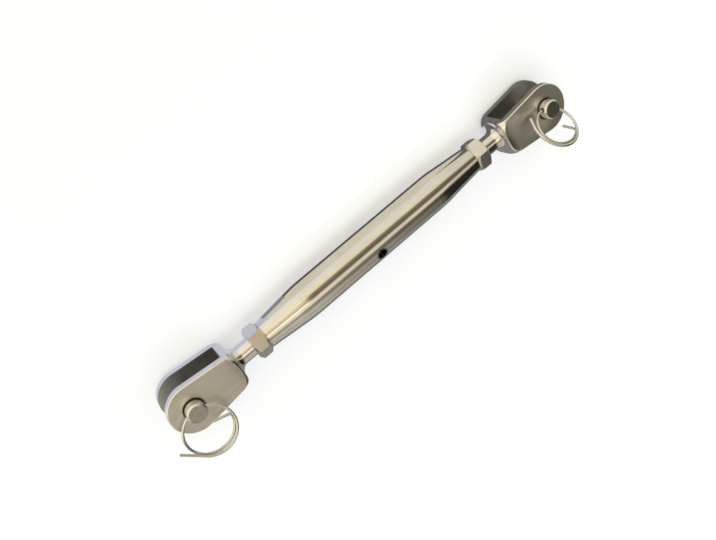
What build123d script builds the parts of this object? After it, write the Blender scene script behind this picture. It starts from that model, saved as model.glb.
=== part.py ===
from build123d import *
import math
import os

os.makedirs("parts", exist_ok=True)

# All sizes are millimetres and degrees.
# The turned body lies along X with its middle at the origin. The clevis pins stand along +Z.
# End a is at -X and end b at +X. The two ends have threads of opposite hand.

# threads, modelled as plain round shanks and bores at their outer diameter
thread_d = 8.0
thread_fit = 0.05

# turned body
body_len = 110.6
body_mid_d = 15.4
body_end_d = 11.6
taper_len = 20.4
taper_blend_r = 60.0
end_bevel = 0.35
threaded_len = 26.0
cavity_d = 10.2
cavity_bevel = 1.2
bar_hole_d = 4.0
bar_hole_turn = 20.0

# lock nuts, seated on the ends of the body
nut_flats = 12.4
nut_len = 6.2
nut_face_d = 11.4
nut_bevel_len = 1.2
nut_roll = {"a": 36.3, "b": 12.3}

# forks: threaded shank, neck, flare and two ears, each fork in one piece
nut_to_pin = 30.5
neck_len = 5.1
middle_gap = 10.0
shank_bevel = 0.8
neck_fillet_r = 3.3
flare_round_r = 3.5
fork_height = 16.0
ear_t = 3.0
ear_r = 10.1
base_width = 14.4
base_to_pin = 20.6
slot_to_pin = 19.0
slot_corner_r = 0.8
ear_bevel = 0.35
pin_bore_fit = 0.05
pin_bore_bevel = 0.4

# clevis pins
pin_d = 8.0
pin_head_d = 11.6
pin_head_t = 2.0
pin_head_bevel = 0.4
pin_end_above_ear = 4.4
pin_bevel = 0.6
ring_hole_d = 2.1
ring_hole_above_ear = 2.35

# split rings: which way each one points round its pin, how far it rises, and how its two
# coils of wire run from the hole in the pin. The wire has small flats, to keep its faces few.
wire_d = 1.0
wire_sides = 10
coil_spread = 3.1
wire_back_in_hole = 0.4
outer_lead = 0.3
inner_lead = 1.2
ring_bend_r = 1.3
ring_points = {"a": -95.0, "b": -118.7}
ring_rise = {"a": 8.0, "b": 40.6}
outer_r = {"a": 9.9, "b": 9.3}
outer_turn = {"a": 226.0, "b": 262.0}
outer_tail = {"a": 9.8, "b": 7.5}
inner_r = {"a": 8.8, "b": 7.4}
inner_turn = {"a": 180.0, "b": 90.0}
last_r = {"a": 10.0, "b": 8.8}
last_turn = {"a": 75.0, "b": 158.0}
bend_turn = {"a": 94.0, "b": 90.0}
inner_tail = {"a": 5.5, "b": 5.8}

# places worked out from the sizes above
body_end_x = body_len / 2
nut_out_x = body_end_x + nut_len
nut_corner_r = nut_flats / math.sqrt(3)
pin_x = nut_out_x + nut_to_pin
neck_end_x = nut_out_x + neck_len
flare_mid_x = neck_end_x + neck_fillet_r
flare_mid_r = thread_d / 2 + neck_fillet_r
flare_end_x = flare_mid_x + flare_round_r
flare_end_r = flare_mid_r + flare_round_r
base_x = pin_x - base_to_pin
slot_x = pin_x - slot_to_pin
fork_end_x = pin_x + ear_r
slot_height = fork_height - 2 * ear_t
shank_end_x = middle_gap / 2
ear_z = fork_height / 2
ring_hole_z = ear_z + ring_hole_above_ear
pin_top_z = ear_z + pin_end_above_ear
thread_bore_d = thread_d + 2 * thread_fit
pin_bore_d = pin_d + 2 * pin_bore_fit
sides = {"a": -1, "b": 1}
half_turn = 180.0


# turned body: a tube that tapers to both ends, with a hole across its middle for a bar
with BuildPart() as barrel:
    with BuildSketch(Plane.XZ) as body_outline:
        with BuildLine():
            Polyline(
                (-body_end_x, 0),
                (-body_end_x, body_end_d / 2),
                (-body_end_x + taper_len, body_mid_d / 2),
                (body_end_x - taper_len, body_mid_d / 2),
                (body_end_x, body_end_d / 2),
                (body_end_x, 0),
                close=True,
            )
        make_face()
        taper_corners = body_outline.vertices().group_by(Axis.Y)[-1]
        fillet(taper_corners, radius=taper_blend_r)
        end_corners = body_outline.vertices().group_by(Axis.Y)[1]
        chamfer(end_corners, length=end_bevel)
    revolve(axis=Axis.X)
    with BuildSketch(Plane.XZ):
        with BuildLine():
            Polyline(
                (-body_end_x, 0),
                (-body_end_x, thread_bore_d / 2),
                (-body_end_x + threaded_len, thread_bore_d / 2),
                (-body_end_x + threaded_len + cavity_bevel, cavity_d / 2),
                (body_end_x - threaded_len - cavity_bevel, cavity_d / 2),
                (body_end_x - threaded_len, thread_bore_d / 2),
                (body_end_x, thread_bore_d / 2),
                (body_end_x, 0),
                close=True,
            )
        make_face()
    revolve(axis=Axis.X, mode=Mode.SUBTRACT)
    bar_hole_dir = (0, -math.sin(math.radians(bar_hole_turn)), math.cos(math.radians(bar_hole_turn)))
    with BuildSketch(Plane(origin=(0, 0, 0), x_dir=(1, 0, 0), z_dir=bar_hole_dir)):
        Circle(radius=bar_hole_d / 2)
    extrude(amount=body_mid_d, both=True, mode=Mode.SUBTRACT)
barrel.part.label = "barrel"
export_step(barrel.part, "parts/barrel.step")


# lock nuts: a hexagon bevelled on both faces, bored for the thread
for end, side in sides.items():
    with BuildPart() as lock_nut:
        with BuildSketch(Plane.YZ.offset(side * body_end_x)):
            RegularPolygon(nut_flats / 2, 6, major_radius=False, rotation=nut_roll[end])
            Circle(radius=thread_bore_d / 2, mode=Mode.SUBTRACT)
        extrude(amount=side * nut_len)
        with BuildSketch(Plane.XZ):
            with BuildLine():
                Polyline(
                    (side * body_end_x, 0),
                    (side * body_end_x, nut_face_d / 2),
                    (side * (body_end_x + nut_bevel_len), nut_corner_r),
                    (side * (nut_out_x - nut_bevel_len), nut_corner_r),
                    (side * nut_out_x, nut_face_d / 2),
                    (side * nut_out_x, 0),
                    close=True,
                )
            make_face()
        revolve(axis=Axis.X, mode=Mode.INTERSECT)
    lock_nut.part.label = f"lock_nut_{end}"
    export_step(lock_nut.part, f"parts/lock_nut_{end}.step")


# fork at end b: the plan of the ears, cut to height, turned to a flare and slotted
with BuildPart() as fork_b:
    with BuildSketch(Plane.XY.offset(-ear_z)):
        with Locations((pin_x, 0)):
            Circle(radius=ear_r)
        with Locations((neck_end_x, 0)):
            Rectangle(base_x - neck_end_x, base_width, align=(Align.MIN, Align.CENTER))
        make_hull()
    extrude(amount=fork_height)
    # the flare is turned: a hollow round at the neck that rolls over into a full round
    with BuildSketch(Plane.XZ):
        with BuildLine():
            Line((neck_end_x, 0), (neck_end_x, thread_d / 2))
            RadiusArc((neck_end_x, thread_d / 2), (flare_mid_x, flare_mid_r), -neck_fillet_r)
            RadiusArc((flare_mid_x, flare_mid_r), (flare_end_x, flare_end_r), flare_round_r)
            Polyline(
                (flare_end_x, flare_end_r),
                (slot_x, 2 * flare_end_r),
                (fork_end_x, 2 * flare_end_r),
                (fork_end_x, 0),
                (neck_end_x, 0),
            )
        make_face()
    revolve(axis=Axis.X, mode=Mode.INTERSECT)
    # bevel round both outer faces, before the slot and the holes are cut
    outer_faces = fork_b.faces().filter_by(Axis.Z)
    chamfer(outer_faces.edges().filter_by(Axis.Z, reverse=True), length=ear_bevel)
    with BuildSketch(Plane.YZ.offset(shank_end_x)):
        Circle(radius=thread_d / 2)
    extrude(amount=flare_mid_x - shank_end_x)
    shank_rim = fork_b.edges().filter_by(GeomType.CIRCLE).sort_by(Axis.X)[0]
    chamfer(shank_rim, length=shank_bevel)
    with BuildSketch(Plane.XZ):
        with Locations((slot_x, 0)):
            Rectangle(fork_end_x - slot_x + ear_r, slot_height, align=(Align.MIN, Align.CENTER))
    extrude(amount=2 * ear_r, both=True, mode=Mode.SUBTRACT)
    slot_corners = fork_b.edges().filter_by(Axis.Y).sort_by(Axis.X)[0:2]
    fillet(slot_corners, radius=slot_corner_r)
    with BuildSketch(Plane.XY.offset(-fork_height)):
        with Locations((pin_x, 0)):
            Circle(radius=pin_bore_d / 2)
    extrude(amount=2 * fork_height, mode=Mode.SUBTRACT)
    round_rims = fork_b.edges().filter_by(GeomType.CIRCLE)
    bore_rims = round_rims.filter_by(lambda rim: math.isclose(rim.radius, pin_bore_d / 2)).sort_by(Axis.Z)
    chamfer([bore_rims[0], bore_rims[-1]], length=pin_bore_bevel)
fork_b.part.label = "fork_b"
export_step(fork_b.part, "parts/fork_b.step")

# fork at end a: the same shape turned end for end
with BuildPart() as fork_a:
    add(fork_b.part, rotation=(0, 0, half_turn))
fork_a.part.label = "fork_a"
export_step(fork_a.part, "parts/fork_a.step")


# clevis pins: head under the lower ear, bevelled end above the upper ear with a cross hole
for end, side in sides.items():
    ring_way = math.radians(ring_points[end])
    along_hole = (-math.sin(ring_way), math.cos(ring_way), 0)
    with BuildPart() as pin:
        with BuildSketch(Plane.XY.offset(-ear_z - pin_head_t)):
            with Locations((side * pin_x, 0)):
                Circle(radius=pin_head_d / 2)
        extrude(amount=pin_head_t)
        chamfer(pin.edges().sort_by(Axis.Z)[0], length=pin_head_bevel)
        with BuildSketch(Plane.XY.offset(-ear_z)):
            with Locations((side * pin_x, 0)):
                Circle(radius=pin_d / 2)
        extrude(amount=ear_z + pin_top_z)
        chamfer(pin.edges().sort_by(Axis.Z)[-1], length=pin_bevel)
        with BuildSketch(Plane(origin=(side * pin_x, 0, ring_hole_z), x_dir=(0, 0, 1), z_dir=along_hole)):
            Circle(radius=ring_hole_d / 2)
        extrude(amount=pin_d, both=True, mode=Mode.SUBTRACT)
    pin.part.label = f"pin_{end}"
    export_step(pin.part, f"parts/pin_{end}.step")


# split rings: the wire runs from its outer tail round one coil, through the pin and round the other
for end, side in sides.items():
    ring_way = math.radians(ring_points[end])
    along_hole = Vector(-math.sin(ring_way), math.cos(ring_way), 0)
    level_reach = Vector(math.cos(ring_way), math.sin(ring_way), 0)
    mid_reach = level_reach.rotate(Axis((0, 0, 0), along_hole), -ring_rise[end])
    wire_start = Vector(side * pin_x, 0, ring_hole_z) - mid_reach * wire_back_in_hole
    coil_planes = []
    for spread in (coil_spread, -coil_spread):
        reach = mid_reach.rotate(Axis((0, 0, 0), along_hole), -spread)
        coil_planes.append(Plane(origin=wire_start, x_dir=reach, z_dir=reach.cross(along_hole)))
    with BuildPart() as ring:
        with BuildLine(coil_planes[0]) as outer_coil:
            lead = Line((0, 0), (0, outer_lead))
            round_arc = JernArc(lead @ 1, lead % 1, outer_r[end], -outer_turn[end])
            PolarLine(round_arc @ 1, outer_tail[end], direction=round_arc % 1)
        with BuildLine(coil_planes[1]) as inner_coil:
            lead = Line((0, 0), (0, -inner_lead))
            round_arc = JernArc(lead @ 1, lead % 1, inner_r[end], inner_turn[end])
            last_arc = JernArc(round_arc @ 1, round_arc % 1, last_r[end], last_turn[end])
            bend = JernArc(last_arc @ 1, last_arc % 1, ring_bend_r, bend_turn[end])
            PolarLine(bend @ 1, inner_tail[end], direction=bend % 1)
        wire_path = Wire(outer_coil.edges() + inner_coil.edges())
        with BuildSketch(Plane(origin=wire_path @ 0, z_dir=wire_path % 0)):
            RegularPolygon(wire_d / 2, wire_sides)
        sweep(path=wire_path)
    ring.part.label = f"ring_{end}"
    export_step(ring.part, f"parts/ring_{end}.step")
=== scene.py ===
import math

import bpy
from mathutils import Matrix, Vector


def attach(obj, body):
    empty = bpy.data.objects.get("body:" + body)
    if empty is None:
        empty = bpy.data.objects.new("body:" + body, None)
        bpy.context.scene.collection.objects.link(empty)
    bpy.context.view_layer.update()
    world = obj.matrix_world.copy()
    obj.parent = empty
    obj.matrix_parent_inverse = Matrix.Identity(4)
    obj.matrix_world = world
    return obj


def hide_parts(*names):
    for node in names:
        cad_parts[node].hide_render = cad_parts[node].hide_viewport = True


# Everything is in metres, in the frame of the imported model: the body lies along X and the
# clevis pins stand along Z, with their heads on the floor.

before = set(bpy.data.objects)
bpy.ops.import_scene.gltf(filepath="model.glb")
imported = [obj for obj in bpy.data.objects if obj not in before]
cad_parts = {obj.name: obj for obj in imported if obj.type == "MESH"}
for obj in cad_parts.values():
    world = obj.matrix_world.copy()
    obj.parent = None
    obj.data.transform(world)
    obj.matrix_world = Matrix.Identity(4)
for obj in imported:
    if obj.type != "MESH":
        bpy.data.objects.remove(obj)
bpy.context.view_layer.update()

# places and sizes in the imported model
PIN_X = 0.092
NUT_OUT_X = 0.0615
SLOT_X = 0.0730
SLOT_HALF = 0.0050
THREAD_R = 0.0040
THREAD_PITCH = 0.00125
BAR_HOLE_DEGREES = 20.0
RING_HOLE_Z = 0.01035


class Value:
    """An output socket of a shader node that can be used in sums."""

    def __init__(self, tree, held):
        self.tree = tree
        self.held = held

    def maths(self, operation, *others):
        return self.tree.node("ShaderNodeMath", {"operation": operation}, [self, *others])

    def __add__(self, other):
        return self.maths("ADD", other)

    def __sub__(self, other):
        return self.maths("SUBTRACT", other)

    def __mul__(self, other):
        return self.maths("MULTIPLY", other)

    def __rsub__(self, other):
        return self.tree.node("ShaderNodeMath", {"operation": "SUBTRACT"}, [other, self])

    __radd__ = __add__
    __rmul__ = __mul__


class Tree:
    """The node tree of a material or of the world."""

    def __init__(self, nodes):
        self.nodes = nodes.nodes
        self.links = nodes.links

    def put(self, socket, value):
        if isinstance(value, Value):
            self.links.new(value.held, socket)
        else:
            socket.default_value = value

    def node(self, kind, settings, inputs, output=0):
        made = self.nodes.new(kind)
        for name, setting in settings.items():
            if name == "stops":
                self.ramp(made.color_ramp, setting)
            else:
                setattr(made, name, setting)
        pairs = inputs.items() if isinstance(inputs, dict) else enumerate(inputs)
        for name, value in pairs:
            self.put(made.inputs[name], value)
        return Value(self, made.outputs[output])

    def split(self, vector):
        """The X, Y and Z of a vector."""
        along = self.node("ShaderNodeSeparateXYZ", {}, [vector], "X")
        parts = along.held.node.outputs
        return along, Value(self, parts["Y"]), Value(self, parts["Z"])

    @staticmethod
    def ramp(ramp, stops):
        while len(ramp.elements) < len(stops):
            ramp.elements.new(0.5)
        for element, (place, shade) in zip(ramp.elements, stops):
            element.position = place
            element.color = (*shade, 1.0)


def ramp_between(value, low, high):
    """Nought below low, one above high, and even between them."""
    return ((value - low) * (1.0 / (high - low))).maths("MAXIMUM", 0.0).maths("MINIMUM", 1.0)


def off_centre(one, other):
    """How far a place is from the centre, from its two parts."""
    return (one * one + other * other).maths("SQRT")


# steel: how the grain and the small marks change the shade, the height and the roughness, and how
# dark painted shade makes the tint
CLOUD_FINE = 90.0
MARK_FINE = 900.0
DARK_GRAIN = 0.88
IN_SHADOW = 0.30
BUMP_STRENGTH = 0.35


def steel(name, tint, roughness, grain_way, grain_fine, grain_depth, wear, mask=None):
    """Brushed or polished stainless steel. The grain runs along the direction with the
    smallest number in grain_way. mask gives how much painted shade a place has, how much
    higher it stands and how much smoother it is."""
    material = bpy.data.materials.new(name)
    material.use_nodes = True
    tree = Tree(material.node_tree)
    shader = material.node_tree.nodes["Principled BSDF"]
    places = tree.node("ShaderNodeTexCoord", {}, {}, "Object")
    stretched = tree.node("ShaderNodeMapping", {}, {"Vector": places, "Scale": grain_way})
    grain = tree.node(
        "ShaderNodeTexNoise",
        {},
        {"Vector": stretched, "Scale": grain_fine, "Detail": 4.0, "Roughness": 0.6},
    )
    clouds = tree.node(
        "ShaderNodeTexNoise", {}, {"Vector": places, "Scale": CLOUD_FINE, "Detail": 3.0}
    )
    marks = tree.node(
        "ShaderNodeTexNoise",
        {},
        {"Vector": places, "Scale": MARK_FINE, "Detail": 2.0, "Roughness": 0.7},
    )
    darker = tuple(DARK_GRAIN * part for part in tint)
    shade = tree.node(
        "ShaderNodeValToRGB",
        {"stops": [(0.35, darker), (0.62, tint)]},
        [grain * 0.5 + clouds * 0.5],
    )
    height = grain + marks * 0.4
    rough = grain * (0.5 * wear) + marks * (0.3 * wear) + (roughness - 0.4 * wear)
    # the mask paints shade into the base colour: it mixes it towards IN_SHADOW times the tint
    if mask:
        shadow, ridges, polish = mask(tree, places)
        rough = rough - polish
        shade = tree.node(
            "ShaderNodeMix",
            {"data_type": "RGBA", "blend_type": "MIX"},
            {0: shadow, 6: shade, 7: (*(IN_SHADOW * part for part in tint), 1.0)},
            2,
        )
        height = height + ridges
    bump = tree.node(
        "ShaderNodeBump",
        {},
        {"Strength": BUMP_STRENGTH, "Distance": grain_depth, "Height": height},
    )
    tree.put(shader.inputs["Base Color"], shade)
    tree.put(shader.inputs["Roughness"], rough)
    tree.put(shader.inputs["Normal"], bump)
    shader.inputs["Metallic"].default_value = 1.0
    return material


# the painted shade and the marks on a fork
MARK_MARGIN = 0.00015
SHANK_MARGIN = 0.0001
SLOT_SHADOW = 0.80
SLOT_OPEN_END = 0.6
SLOT_OPEN_REACH = 0.008
BORE_RIM = (0.0043, 0.0050)
BORE_RIM_SHADOW = 0.75
LIP_R = 0.00475
LIP_WIDTH = 0.00025
LIP_OUT_R = 0.0054
LIP_RISE = 6.0
RIDGE_RISE = 120.0
NECK_END = (0.0690, 0.0740)
NECK_POLISH = 0.24


def fork_painted_shade_and_marks(tree, places):
    """Painted shade in the slot and round the pin's bore, the bore's lip, the ridges of the
    thread on the shank and a brighter neck."""
    along, across, up = tree.split(places)
    reach = along.maths("ABSOLUTE")
    in_height = up.maths("ABSOLUTE").maths("LESS_THAN", SLOT_HALF + MARK_MARGIN)
    in_slot = reach.maths("GREATER_THAN", SLOT_X - MARK_MARGIN) * in_height
    on_shank = off_centre(across, up).maths("LESS_THAN", THREAD_R + SHANK_MARGIN)
    on_shank = on_shank * reach.maths("LESS_THAN", NUT_OUT_X)
    winding = up.maths("ARCTAN2", across) * (1.0 / (2.0 * math.pi))
    ridge = (reach * (1.0 / THREAD_PITCH) + winding).maths("PINGPONG", 0.5)
    open_end = ramp_between(reach, SLOT_X, PIN_X + SLOT_OPEN_REACH)
    off_pin = off_centre(reach - PIN_X, across)
    bore_rim = 1 - ramp_between(off_pin, *BORE_RIM)
    lip = (off_pin * (1.0 / LIP_WIDTH) - LIP_R / LIP_WIDTH).maths("PINGPONG", 1.0)
    lip = lip * off_pin.maths("LESS_THAN", LIP_OUT_R)
    # painted shade: the slot is painted darker, less so towards its open end, and a dark ring is
    # painted round the pin's bore
    shadow = in_slot * (SLOT_SHADOW - open_end * SLOT_OPEN_END)
    shadow = shadow.maths("MAXIMUM", bore_rim * BORE_RIM_SHADOW)
    polish = (1 - ramp_between(reach, *NECK_END)) * NECK_POLISH
    return shadow, ridge * on_shank * RIDGE_RISE + lip * LIP_RISE, polish


# the rim of the bar hole, painted dark as shade
BAR_RIM = (0.0024, 0.0027)
BAR_RIM_RISE = -2.0


def body_painted_rim_shade(tree, places):
    """Painted shade on the sunken rim of the bar hole."""
    along, across, up = tree.split(places)
    turn = math.radians(BAR_HOLE_DEGREES)
    aside = across * math.cos(turn) + up * math.sin(turn)
    rim = 1 - ramp_between(off_centre(along, aside), *BAR_RIM)
    return rim, rim * BAR_RIM_RISE, 0.0


# the painted shade and the groove on a pin
FOOT = (0.0088, 0.0094)
FOOT_SHADOW = 0.85
GROOVE_Z = 0.0107
GROOVE_HALF = 0.00012
GROOVE_SHADOW = 0.8
GROOVE_RISE = -8.0
END_FACE_Z = 0.01238
END_FACE_SHADOW = 0.18


def pin_painted_shade_and_groove(tree, places):
    """Painted shade at the foot where the pin leaves the ear, in a fine sunken groove above it and
    on the end.
    """
    along, across, up = tree.split(places)
    foot = 1 - ramp_between(up, *FOOT)
    groove = (up - GROOVE_Z).maths("ABSOLUTE").maths("LESS_THAN", GROOVE_HALF)
    end_face = up.maths("GREATER_THAN", END_FACE_Z)
    # painted shade: a painted shadow at the foot, painted shade in the groove and a darker painted
    # end face
    shadow = (foot * FOOT_SHADOW).maths("MAXIMUM", groove * GROOVE_SHADOW)
    shadow = shadow.maths("MAXIMUM", end_face * END_FACE_SHADOW)
    return shadow, groove * GROOVE_RISE, 0.0


ALONG_X = (0.05, 1.0, 1.0)
CLOUDY = (1.0, 1.0, 1.0)

body_steel = steel(
    "polished_body",
    tint=(0.80, 0.79, 0.765),
    roughness=0.13,
    grain_way=ALONG_X,
    grain_fine=2200.0,
    grain_depth=0.000002,
    wear=0.10,
    mask=body_painted_rim_shade,
)
nut_steel = steel(
    "nut_steel",
    tint=(0.82, 0.81, 0.785),
    roughness=0.30,
    grain_way=CLOUDY,
    grain_fine=700.0,
    grain_depth=0.000002,
    wear=0.10,
)
fork_steel = steel(
    "satin_fork",
    tint=(0.86, 0.85, 0.83),
    roughness=0.38,
    grain_way=ALONG_X,
    grain_fine=700.0,
    grain_depth=0.000001,
    wear=0.12,
    mask=fork_painted_shade_and_marks,
)
pin_steel = steel(
    "pin_steel",
    tint=(0.80, 0.79, 0.77),
    roughness=0.28,
    grain_way=CLOUDY,
    grain_fine=500.0,
    grain_depth=0.000001,
    wear=0.12,
    mask=pin_painted_shade_and_groove,
)
wire_steel = steel(
    "ring_wire",
    tint=(0.78, 0.77, 0.74),
    roughness=0.18,
    grain_way=CLOUDY,
    grain_fine=2400.0,
    grain_depth=0.000002,
    wear=0.10,
)

FINISHES = {
    "barrel": body_steel,
    "lock_nut_a": nut_steel,
    "lock_nut_b": nut_steel,
    "fork_a": fork_steel,
    "fork_b": fork_steel,
    "pin_a": pin_steel,
    "pin_b": pin_steel,
    "ring_a": wire_steel,
    "ring_b": wire_steel,
}
for node, material in FINISHES.items():
    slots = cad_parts[node].data.materials
    slots.clear()
    slots.append(material)


# split rings: round wire in place of the faceted wire of the CAD nodes. Each ring starts in
# the cross hole of its pin and goes two ways, outer and inner. A run is a length and None,
# or the radius of an arc and the degrees it turns.
WIRE_R = 0.00055
WIRE_SIDES = 20
WIRE_BACK = 0.0004
BEND_R = 0.0013
DEGREES_A_STEP = 4.0
LEAST_STEPS = 6
SMOOTH_DEGREES = 50.0
RINGS = {
    "a": {
        "side": -1,
        "points": -95.0,
        "rise": 8.0,
        "spread": 3.4,
        "outer": [(0.0003, None), (0.00975, 222.4), (0.0100, None)],
        "inner": [(0.0012, None), (0.0075, 28.8), (0.00976, 234.7), (BEND_R, 83.0), (0.0060, None)],
    },
    "b": {
        "side": 1,
        "points": -118.7,
        "rise": 40.6,
        "spread": 3.6,
        "outer": [(0.0003, None), (0.0081, 90.7), (0.0102, 183.9), (0.0038, None)],
        "inner": [(0.0012, None), (0.0079, 154.3), (0.0108, 72.8), (BEND_R, 111.4), (0.0051, None)],
    },
}


def walk(place, heading, axis, run):
    """Where a run ends, which way it heads there, and the centre of its arc."""
    size, degrees = run
    if degrees is None:
        return place + heading * size, heading, None
    centre = place + axis.cross(heading) * size
    turn = Matrix.Rotation(math.radians(degrees), 3, axis)
    return centre + turn @ (place - centre), turn @ heading, centre


def lay_wire(name, place, heading, runs):
    """A round wire pushed out along its runs, each with the axis that it turns about.
    The spin tool turns the other way from a right-hand turn, so its axis is reversed."""
    bpy.ops.object.select_all(action="DESELECT")
    tilt = heading.to_track_quat("Z", "X").to_euler()
    bpy.ops.mesh.primitive_circle_add(
        vertices=WIRE_SIDES, radius=WIRE_R, fill_type="NOTHING", location=place, rotation=tilt
    )
    wire = bpy.context.object
    wire.name = name
    bpy.ops.object.transform_apply(location=True, rotation=True)
    bpy.ops.object.mode_set(mode="EDIT")
    bpy.ops.mesh.select_all(action="SELECT")
    for axis, run in runs:
        start = place
        place, heading, centre = walk(place, heading, axis, run)
        if centre is None:
            bpy.ops.mesh.extrude_region_move(TRANSFORM_OT_translate={"value": place - start})
        else:
            steps = max(LEAST_STEPS, round(run[1] / DEGREES_A_STEP))
            bpy.ops.mesh.spin(steps=steps, angle=math.radians(run[1]), center=centre, axis=-axis)
    bpy.ops.mesh.select_all(action="DESELECT")
    bpy.ops.mesh.select_non_manifold()
    bpy.ops.mesh.fill_holes(sides=0)
    bpy.ops.mesh.select_all(action="SELECT")
    bpy.ops.mesh.normals_make_consistent(inside=False)
    bpy.ops.object.mode_set(mode="OBJECT")
    bpy.ops.object.shade_smooth_by_angle(angle=math.radians(SMOOTH_DEGREES))
    wire.data.materials.append(wire_steel)
    return wire


for end, ring in RINGS.items():
    way = math.radians(ring["points"])
    rise = math.radians(ring["rise"])
    spread = math.radians(ring["spread"])
    along_hole = Vector((-math.sin(way), math.cos(way), 0.0))
    level = Vector((math.cos(way), math.sin(way), 0.0))
    mid_reach = Matrix.Rotation(-rise, 3, along_hole) @ level
    start = Vector((ring["side"] * PIN_X, 0.0, RING_HOLE_Z)) - mid_reach * WIRE_BACK
    outer_axis = (Matrix.Rotation(-spread, 3, along_hole) @ mid_reach).cross(along_hole)
    inner_axis = (Matrix.Rotation(spread, 3, along_hole) @ mid_reach).cross(along_hole)
    # the tip of the outer way is found first, and the wire is laid from there back through the hole
    tip, heading = start, along_hole
    for run in ring["outer"]:
        tip, heading, centre = walk(tip, heading, -outer_axis, run)
    runs = [(outer_axis, run) for run in reversed(ring["outer"])]
    runs += [(inner_axis, run) for run in ring["inner"]]
    wire = lay_wire(f"round_wire_{end}", tip, -heading, runs)
    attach(wire, f"ring_{end}")
    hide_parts(f"ring_{end}")


def card_paint(name, paint, glow, strength):
    """A matt paint with some light of its own."""
    material = bpy.data.materials.new(name)
    material.use_nodes = True
    shader = material.node_tree.nodes["Principled BSDF"]
    shader.inputs["Base Color"].default_value = (*paint, 1.0)
    shader.inputs["Roughness"].default_value = 1.0
    shader.inputs["Specular IOR Level"].default_value = 0.0
    shader.inputs["Emission Color"].default_value = (*glow, 1.0)
    shader.inputs["Emission Strength"].default_value = strength
    return material


# floor: part of its white is its own, so that the object's shadow stays soft
FLOOR_Z = -0.010
FLOOR_HALF = 3.0
FLOOR_PAINT = (0.79, 0.84, 0.95)
FLOOR_GLOW = 0.33
WHITE = (1.0, 1.0, 1.0)

bpy.ops.object.select_all(action="DESELECT")
bpy.ops.mesh.primitive_plane_add(size=2 * FLOOR_HALF, location=(0, 0, FLOOR_Z))
floor = bpy.context.object
floor.name = "floor"
bpy.ops.object.transform_apply(location=True)
floor.data.materials.append(card_paint("pale_floor", FLOOR_PAINT, WHITE, FLOOR_GLOW))


# the room: the angle from the +Y horizon over the top to the -Y horizon, and the light there
PANELS = [
    (0, (0.86, 0.86, 0.84)),
    (12, (0.90, 0.86, 0.74)),
    (30, (0.99, 0.89, 0.66)),
    (50, (0.96, 0.85, 0.62)),
    (58, (0.24, 0.20, 0.14)),
    (80, (0.14, 0.11, 0.07)),
    (89, (0.86, 0.78, 0.58)),
    (103, (0.92, 0.84, 0.64)),
    (110, (0.26, 0.23, 0.17)),
    (127, (0.30, 0.27, 0.20)),
    (135, (0.60, 0.54, 0.44)),
    (160, (0.44, 0.40, 0.34)),
    (180, (0.60, 0.58, 0.55)),
]
# the panels fade along X, from one strength to another
FADE_X = (-0.3, 0.7)
PANEL_GAIN = (1.20, 0.80)
# half a turn counts as one in these ranges: behind end b the room is dimmer
DIM_X = (0.12, 0.42)
DIM_TURN = (0.54, 0.61)
DIM_BY = 0.95
# and over end a it is brighter
LIT_X = (0.02, 0.07)
LIT_TURN_FROM = (0.28, 0.34)
LIT_TURN_TO = (0.46, 0.5)
LIT_BY = 2.9


def studio_world():
    """A room of long panels that run along X, with light and dark ones by turns."""
    world = bpy.data.worlds.new("studio")
    bpy.context.scene.world = world
    world.use_nodes = True
    tree = Tree(world.node_tree)
    way = tree.node("ShaderNodeTexCoord", {}, {}, "Generated")
    along, sideways, up = tree.split(way)
    turn = up.maths("ARCTAN2", sideways) * (1.0 / math.pi)
    panels = tree.node(
        "ShaderNodeValToRGB",
        {"stops": [(degrees / 180.0, shade) for degrees, shade in PANELS]},
        [turn],
    )
    fade = tree.node("ShaderNodeMapRange", {}, [along, *FADE_X, *PANEL_GAIN])
    dim_end = ramp_between(along, *DIM_X) * ramp_between(turn, *DIM_TURN) * DIM_BY
    lit_end = (1 - ramp_between(along, *LIT_X)) * ramp_between(turn, *LIT_TURN_FROM)
    lit_end = lit_end * (1 - ramp_between(turn, *LIT_TURN_TO)) * LIT_BY
    fade = fade * (1 - dim_end) * (lit_end + 1.0)
    shaded = tree.node(
        "ShaderNodeVectorMath", {"operation": "SCALE"}, {"Vector": panels, "Scale": fade}
    )
    background = world.node_tree.nodes["Background"]
    tree.put(background.inputs["Color"], shaded)


studio_world()


def soft_box(name, place, aim, width, height, power, shade):
    """A rectangular lamp that faces the point aim and lights the floor."""
    lamp = bpy.data.lights.new(name, "AREA")
    lamp.shape = "RECTANGLE"
    lamp.size = width
    lamp.size_y = height
    lamp.energy = power
    lamp.color = shade
    holder = bpy.data.objects.new(name, lamp)
    holder.location = place
    holder.rotation_euler = (Vector(aim) - Vector(place)).to_track_quat("-Z", "Y").to_euler()
    holder.visible_glossy = False
    bpy.context.scene.collection.objects.link(holder)


soft_box("overhead_lamp", (0.0, -0.30, 0.80), (0, 0, 0), 1.6, 0.9, 3.8, (0.86, 0.94, 1.0))


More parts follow.
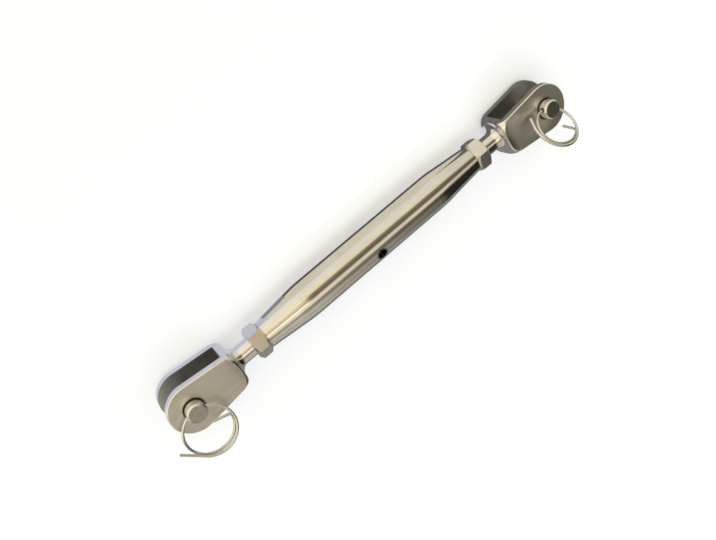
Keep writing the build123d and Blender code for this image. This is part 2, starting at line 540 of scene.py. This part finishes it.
# studio flags: thin cards just above the floor, from one corner to the other, with their shade.
# The one in front lies lowest, under the others.
BLACK = (0.0, 0.0, 0.0)
FLAGS = [
    ("flag_by_end_a", (-0.125, 0.003, -0.0098), (-0.052, 0.060, -0.0096), (0.62, 0.64, 0.76)),
    ("flag_by_taper_a", (-0.052, 0.003, -0.0098), (-0.040, 0.016, -0.0096), (0.27, 0.28, 0.34)),
    ("flag_by_body", (-0.040, 0.003, -0.0098), (0.060, 0.012, -0.0096), (0.10, 0.10, 0.11)),
    ("flag_by_end_b", (0.060, 0.003, -0.0098), (0.125, 0.050, -0.0096), (0.15, 0.14, 0.14)),
    ("flag_in_front", (-0.052, 0.003, -0.00995), (0.40, 0.80, -0.00985), (0.78, 0.72, 0.56)),
    ("flag_behind", (-0.20, -0.80, -0.0098), (0.40, -0.003, -0.0096), (0.26, 0.25, 0.23)),
]


def lay_flag(name, low, high, shade):
    """A card from low to high, which shows only as a reflection in the metal."""
    bpy.ops.object.select_all(action="DESELECT")
    middle = (Vector(low) + Vector(high)) / 2
    bpy.ops.mesh.primitive_cube_add(size=1.0, location=middle, scale=Vector(high) - Vector(low))
    flag = bpy.context.object
    flag.name = name
    bpy.ops.object.transform_apply(location=True, scale=True)
    flag.data.materials.append(card_paint(name, BLACK, shade, 1.0))
    flag.visible_camera = False
    flag.visible_diffuse = False
    flag.visible_shadow = False


for name, low, high, shade in FLAGS:
    lay_flag(name, low, high, shade)


# camera: its place and its right and up ways, fitted to the photo
CAMERA_PLACE = Vector((-0.0711, 0.1530, 0.2579))
CAMERA_RIGHT = Vector((0.7450, -0.4756, 0.4677))
CAMERA_UP = Vector((0.6372, 0.7148, -0.2881))
CAMERA_LENS = 39.0
SENSOR_WIDTH = 36.0
CLIP_START = 0.01

camera_data = bpy.data.cameras.new("camera")
camera_data.lens = CAMERA_LENS
camera_data.sensor_width = SENSOR_WIDTH
camera_data.clip_start = CLIP_START
camera = bpy.data.objects.new("camera", camera_data)
bpy.context.scene.collection.objects.link(camera)
camera_back = CAMERA_RIGHT.cross(CAMERA_UP)
turn = Matrix((CAMERA_RIGHT, CAMERA_UP, camera_back)).transposed().to_4x4()
camera.matrix_world = Matrix.Translation(CAMERA_PLACE) @ turn
bpy.context.scene.camera = camera

bpy.context.scene.view_settings.view_transform = "Standard"
